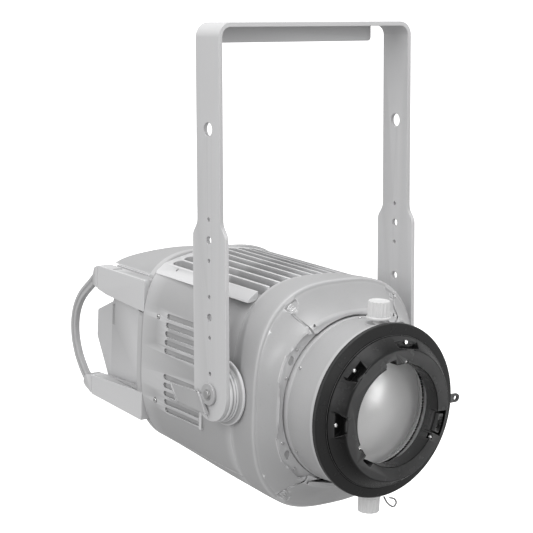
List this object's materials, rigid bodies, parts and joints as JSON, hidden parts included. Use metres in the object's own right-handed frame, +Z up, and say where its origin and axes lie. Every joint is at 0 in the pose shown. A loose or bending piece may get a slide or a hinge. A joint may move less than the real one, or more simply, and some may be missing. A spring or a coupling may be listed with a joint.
{
  "type": "ellipsoidal spotlight",
  "caption": "Long finned profile spotlight on a tall U-shaped yoke, with side vents, rear carrying handles and a black keyed adapter ring at the nose.",
  "frame": {"origin": "centre of the flat top face of the yoke crossbar, where the hanging clamp bolts on", "axes": "+Z up out of the crossbar, -Y towards the beam, +X to the right when looking along +Y"},
  "size_m": [0.398, 0.7066, 0.7563],
  "materials": {
    "housing_paint": "satin light grey powder coat with a fine texture, on cast and folded aluminium",
    "yoke_paint": "satin light grey powder coat on folded steel plate",
    "knob_plastic": "moulded ribbed knob, light grey",
    "ring_black": "black textured powder coat on an aluminium die casting, satin sheen",
    "steel": "bright zinc plated and ground steel",
    "glass": "coated optical glass",
    "dark_plastic": "dark moulded plastic and blackened metal",
    "board_green": "printed circuit board",
    "aluminium": "extruded aluminium, clear anodised"
  },
  "bodies": {
    "yoke": {"yoke": "yoke_paint", "friction_disc_left": "housing_paint", "friction_disc_right": "housing_paint"},
    "tilt_lever_left": {"tilt_lever_left": "housing_paint"},
    "tilt_lever_right": {"tilt_lever_right": "housing_paint"},
    "head": {"pivot_boss_left": "housing_paint", "pivot_boss_right": "housing_paint", "pivot_bolt_left": "steel", "pivot_bolt_right": "steel", "nose_casting": "housing_paint", "barrel_plate": "housing_paint", "barrel_bearing": "aluminium", "side_cover_left": "housing_paint", "side_cover_right": "housing_paint", "cover_screw_left_1": "steel", "cover_screw_left_2": "steel", "cover_screw_right_1": "steel", "cover_screw_right_2": "steel", "chassis_rail_left": "aluminium", "chassis_rail_right": "aluminium", "bottom_cover": "housing_paint", "finned_roof": "housing_paint", "rear_frame": "housing_paint", "rear_handle_left": "housing_paint", "rear_handle_right": "housing_paint", "rear_housing": "housing_paint", "rear_dome": "housing_paint", "display_window": "glass", "power_inlet": "dark_plastic", "power_outlet": "dark_plastic", "data_inlet": "dark_plastic", "data_outlet": "dark_plastic", "power_supply": "aluminium", "driver_board": "board_green", "led_heat_sink": "aluminium", "led_board": "board_green", "optics_housing": "dark_plastic", "condenser_lens": "glass", "gate_plate": "dark_plastic", "fan_frame": "dark_plastic"},
    "fan_left": {"fan_rotor_left": "dark_plastic"},
    "fan_right": {"fan_rotor_right": "dark_plastic"},
    "button_1": {"menu_button_1": "dark_plastic"},
    "button_2": {"menu_button_2": "dark_plastic"},
    "button_3": {"menu_button_3": "dark_plastic"},
    "menu_knob": {"menu_knob": "knob_plastic"},
    "barrel": {"barrel": "housing_paint", "adapter_ring": "ring_black", "safety_eye": "ring_black", "wire_clip": "steel"},
    "carriage": {"lens_carriage": "dark_plastic", "front_lens": "glass", "rear_lens": "glass", "lens_clip_ring": "steel"},
    "knob_top": {"focus_knob_top": "knob_plastic"},
    "knob_bottom": {"focus_knob_bottom": "knob_plastic"},
    "plunger_1": {"spring_plunger_1": "steel"},
    "plunger_2": {"spring_plunger_2": "steel"},
    "plunger_3": {"spring_plunger_3": "steel"},
    "latch": {"ring_latch": "ring_black"}
  },
  "joints": [
    {"name": "head_tilt", "type": "hinge", "parent": "yoke", "child": "head", "pos_m": [0, 0, -0.564], "axis": [1, 0, 0], "range_deg": [-90, 90]},
    {"name": "tilt_lever_left_turn", "type": "hinge", "parent": "yoke", "child": "tilt_lever_left", "pos_m": [-0.19, 0, -0.564], "axis": [1, 0, 0], "range_deg": [0, 45]},
    {"name": "tilt_lever_right_turn", "type": "hinge", "parent": "yoke", "child": "tilt_lever_right", "pos_m": [0.19, 0, -0.564], "axis": [1, 0, 0], "range_deg": [0, 45]},
    {"name": "barrel_rotation", "type": "hinge", "parent": "head", "child": "barrel", "pos_m": [0, -0.11929, -0.57836], "axis": [0, 0.9976, 0.0698], "range_deg": [-25, 25]},
    {"name": "lens_focus", "type": "slide", "parent": "barrel", "child": "carriage", "axis": [0, 0.9976, 0.0698], "range_m": [0, 0.02]},
    {"name": "knob_top_turn", "type": "hinge", "parent": "barrel", "child": "knob_top", "pos_m": [0, -0.1636, -0.57544], "axis": [0, -0.0698, 0.9976], "range_deg": [0, 360]},
    {"name": "knob_bottom_turn", "type": "hinge", "parent": "barrel", "child": "knob_bottom", "pos_m": [0, -0.1636, -0.57544], "axis": [0, 0.0698, -0.9976], "range_deg": [0, 360]},
    {"name": "latch_swing", "type": "hinge", "parent": "barrel", "child": "latch", "pos_m": [0.08801, -0.21516, -0.59433], "axis": [0, 0.9976, 0.0698], "range_deg": [-5, 0], "stiffness_Nm_per_rad": 0.5},
    {"name": "fan_left_spin", "type": "hinge", "parent": "head", "child": "fan_left", "pos_m": [-0.062, 0.15861, -0.55291], "axis": [0, 0.9976, 0.0698], "continuous": true},
    {"name": "fan_right_spin", "type": "hinge", "parent": "head", "child": "fan_right", "pos_m": [0.062, 0.15861, -0.55291], "axis": [0, 0.9976, 0.0698], "continuous": true},
    {"name": "menu_knob_turn", "type": "hinge", "parent": "head", "child": "menu_knob", "pos_m": [0.076, 0.445, -0.51985], "axis": [0, 0.9976, 0.0698], "continuous": true},
    {"name": "plunger_1_press", "type": "slide", "parent": "barrel", "child": "plunger_1", "axis": [0.1392, -0.0691, 0.9879], "range_m": [0, 0.003], "stiffness_N_per_m": 800, "springref_m": -0.002},
    {"name": "plunger_2_press", "type": "slide", "parent": "barrel", "child": "plunger_2", "axis": [-0.8746, 0.0338, -0.4836], "range_m": [0, 0.003], "stiffness_N_per_m": 800, "springref_m": -0.002},
    {"name": "plunger_3_press", "type": "slide", "parent": "barrel", "child": "plunger_3", "axis": [0.848, 0.037, -0.5286], "range_m": [0, 0.003], "stiffness_N_per_m": 800, "springref_m": -0.002},
    {"name": "button_1_press", "type": "slide", "parent": "head", "child": "button_1", "axis": [0, -0.9976, -0.0698], "range_m": [0, 0.0012], "stiffness_N_per_m": 600, "springref_m": -0.0008},
    {"name": "button_2_press", "type": "slide", "parent": "head", "child": "button_2", "axis": [0, -0.9976, -0.0698], "range_m": [0, 0.0012], "stiffness_N_per_m": 600, "springref_m": -0.0008},
    {"name": "button_3_press", "type": "slide", "parent": "head", "child": "button_3", "axis": [0, -0.9976, -0.0698], "range_m": [0, 0.0012], "stiffness_N_per_m": 600, "springref_m": -0.0008}
  ]
}
